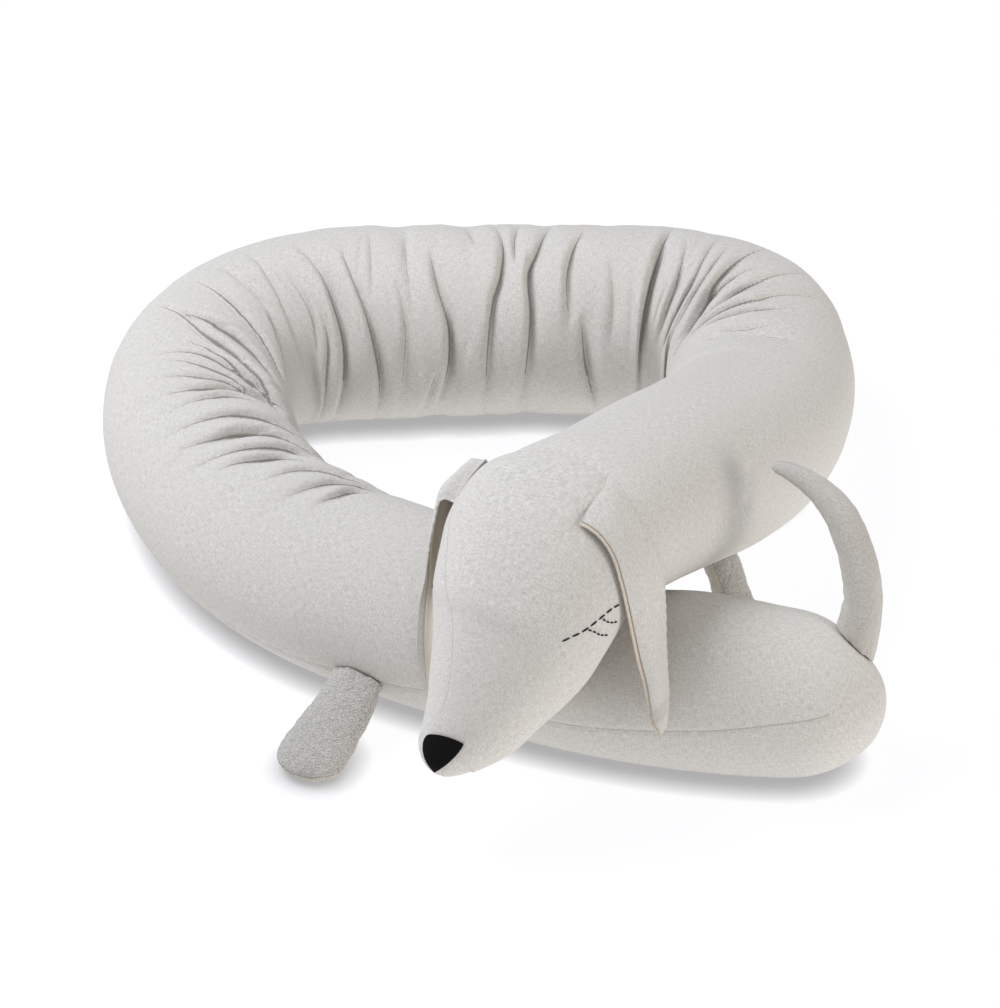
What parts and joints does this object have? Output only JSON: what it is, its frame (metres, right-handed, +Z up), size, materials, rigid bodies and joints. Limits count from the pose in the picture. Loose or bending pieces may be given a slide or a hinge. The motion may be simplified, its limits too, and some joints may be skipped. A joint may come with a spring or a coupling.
{
  "type": "dachshund-shaped crib bolster",
  "caption": "Long stuffed bolster shaped as a sleeping dachshund, curled into a ring with its neck over its own rump, with floppy ears, paddle legs, a curved tail and a felt nose.",
  "frame": {"origin": "on the floor, in the middle of the object's own box", "axes": "+Z up; the head lies at -Y and points down towards the floor; +X is on the right seen from the head's side"},
  "size_m": [0.7396, 0.847, 0.3054],
  "materials": {
    "linen": "light grey linen-look cloth, matt, fine slubby weave",
    "lining": "cream cotton lining, matt",
    "felt": "black wool felt, matt"
  },
  "bodies": {
    "root": {"body": "linen", "tail": "linen", "leg_hind_left": "linen", "leg_hind_right": "linen", "leg_front_left": "linen", "leg_front_right": "linen", "ear_left_outer": "linen", "ear_left_lining": "lining", "ear_right_outer": "linen", "ear_right_lining": "lining", "nose": "felt"}
  },
  "joints": []
}
